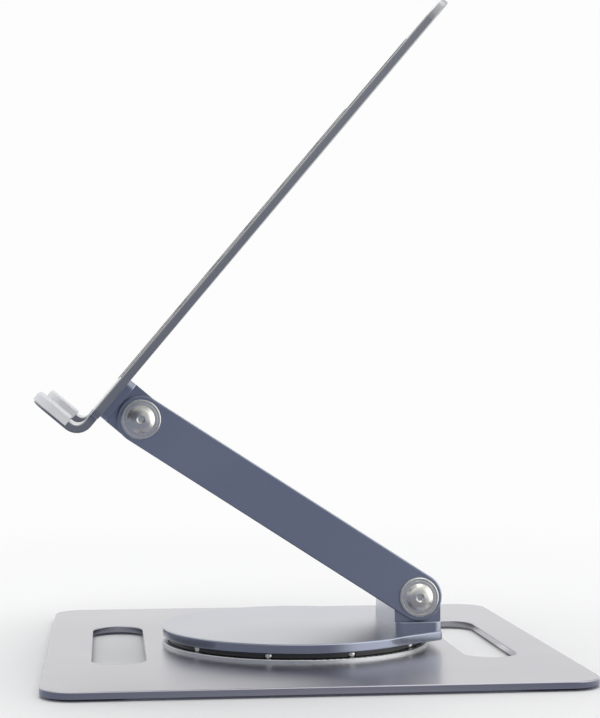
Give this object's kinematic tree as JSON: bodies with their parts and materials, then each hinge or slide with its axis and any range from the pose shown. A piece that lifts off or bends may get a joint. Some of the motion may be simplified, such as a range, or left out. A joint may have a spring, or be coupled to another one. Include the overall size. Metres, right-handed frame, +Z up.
{
  "type": "folding laptop stand",
  "caption": "Folding laptop stand: a flat base with a ball-bearing turntable, a channel arm with a friction hinge at each end, and a vented tray with front lips.",
  "frame": {"origin": "on the turntable's axis at desk level, under the middle of the base plate", "axes": "+Z up; +X from the front, where the lips are, to the rear; +Y to the user's left"},
  "size_m": [0.2434, 0.246, 0.297],
  "materials": {
    "anodised_aluminium": "fine-blasted and anodised, satin",
    "polished_caps": "polished",
    "zinc_plated_steel": "zinc plated, dull",
    "black_nylon": "moulded, matte",
    "grey_silicone": "matte",
    "black_rubber": "matte"
  },
  "bodies": {
    "base": {"base_plate": "anodised_aluminium", "foot_front_right": "black_rubber", "foot_front_left": "black_rubber", "foot_rear_right": "black_rubber", "foot_rear_left": "black_rubber", "bearing_race": "zinc_plated_steel", "race_screws": "zinc_plated_steel", "pivot_bush": "black_nylon"},
    "bearing": {"ball_cage": "black_nylon", "bearing_balls": "polished_caps"},
    "turntable": {"turntable_disc": "anodised_aluminium", "pivot_bolt": "zinc_plated_steel", "lower_hinge_seat": "anodised_aluminium", "lower_seat_screws": "zinc_plated_steel"},
    "arm": {"arm_channel": "anodised_aluminium", "hinge_screw_lower_right": "polished_caps", "side_washer_lower_right": "black_nylon", "spring_washers_lower_right": "zinc_plated_steel", "lock_nut_lower_right": "zinc_plated_steel", "hinge_screw_lower_left": "polished_caps", "side_washer_lower_left": "black_nylon", "spring_washers_lower_left": "zinc_plated_steel", "lock_nut_lower_left": "zinc_plated_steel", "hinge_screw_upper_right": "polished_caps", "side_washer_upper_right": "black_nylon", "spring_washers_upper_right": "zinc_plated_steel", "lock_nut_upper_right": "zinc_plated_steel", "hinge_screw_upper_left": "polished_caps", "side_washer_upper_left": "black_nylon", "spring_washers_upper_left": "zinc_plated_steel", "lock_nut_upper_left": "zinc_plated_steel"},
    "tray": {"tray_panel": "anodised_aluminium", "upper_hinge_seat": "anodised_aluminium", "upper_seat_screws": "zinc_plated_steel", "tray_strip_right": "grey_silicone", "tray_strip_left": "grey_silicone", "lip_pad_right": "grey_silicone", "lip_pad_left": "grey_silicone"}
  },
  "joints": [
    {"name": "turntable_spin", "type": "hinge", "parent": "base", "child": "turntable", "pos_m": [0, 0, 0.0126], "axis": [0, 0, 1], "continuous": true},
    {"name": "cage_spin", "type": "hinge", "parent": "base", "child": "bearing", "pos_m": [0, 0, 0.007], "axis": [0, 0, 1], "continuous": true},
    {"name": "arm_hinge", "type": "hinge", "parent": "turntable", "child": "arm", "pos_m": [0.0556, 0, 0.0288], "axis": [0, 1, 0], "range_deg": [-32.75, 1.5]},
    {"name": "tray_hinge", "type": "hinge", "parent": "arm", "child": "tray", "pos_m": [-0.07636, 0, 0.11368], "axis": [0, 1, 0], "range_deg": [-7, 82.85]}
  ],
  "couplings": [
    {"joint": "cage_spin", "follows": "turntable_spin", "ratio": 0.5}
  ]
}
